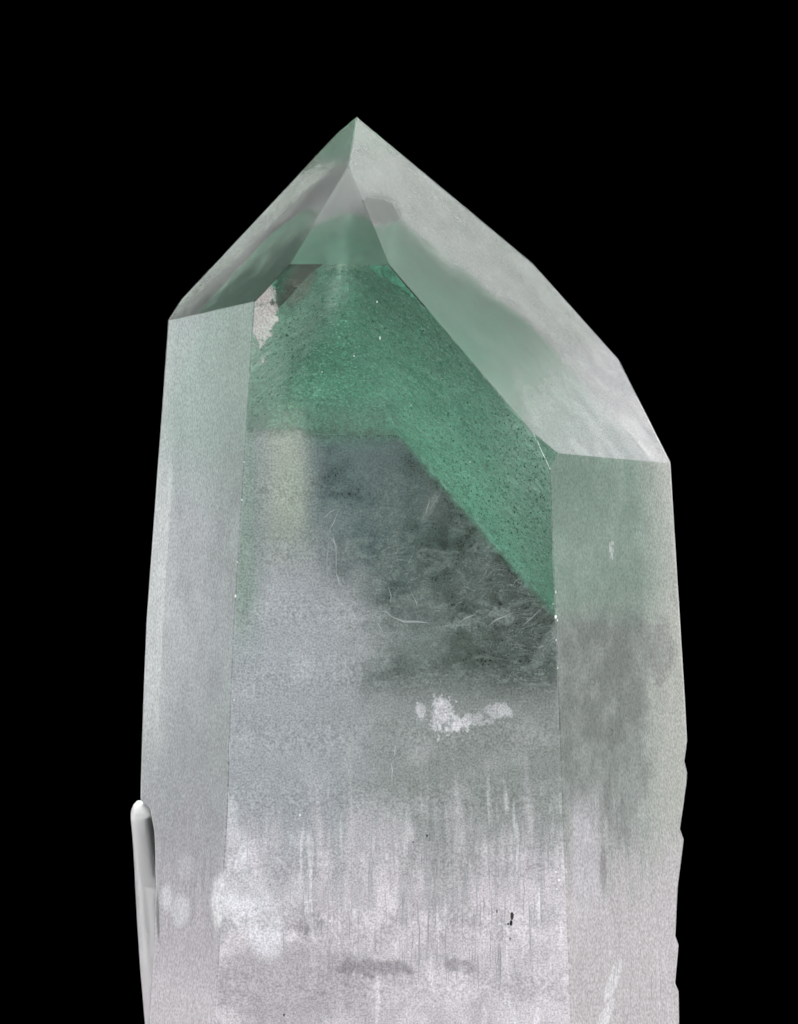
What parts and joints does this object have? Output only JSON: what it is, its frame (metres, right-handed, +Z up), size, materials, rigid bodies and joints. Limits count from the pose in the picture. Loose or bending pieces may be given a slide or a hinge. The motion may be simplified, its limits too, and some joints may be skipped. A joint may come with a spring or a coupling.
{
  "type": "quartz crystal with a fuchsite phantom",
  "caption": "Clear to milky quartz crystal point with a sealed green mica phantom and a thin side crystal, standing on a flat cut base.",
  "frame": {"origin": "middle of the outline's box on the flat cut that the crystal rests on", "axes": "+Z up along the crystal's long axis to its point, -Y the way the broad front prism face looks, +X to the right seen from the front"},
  "size_m": [0.0404, 0.0334, 0.0764],
  "materials": {
    "quartz": "clear to milky natural crystal faces, satin on the point",
    "fuchsite": "fine green mica flakes with small bright glints"
  },
  "bodies": {
    "root": {"quartz_body": "quartz", "fuchsite_phantom": "fuchsite", "quartz_tip": "quartz"}
  },
  "joints": []
}
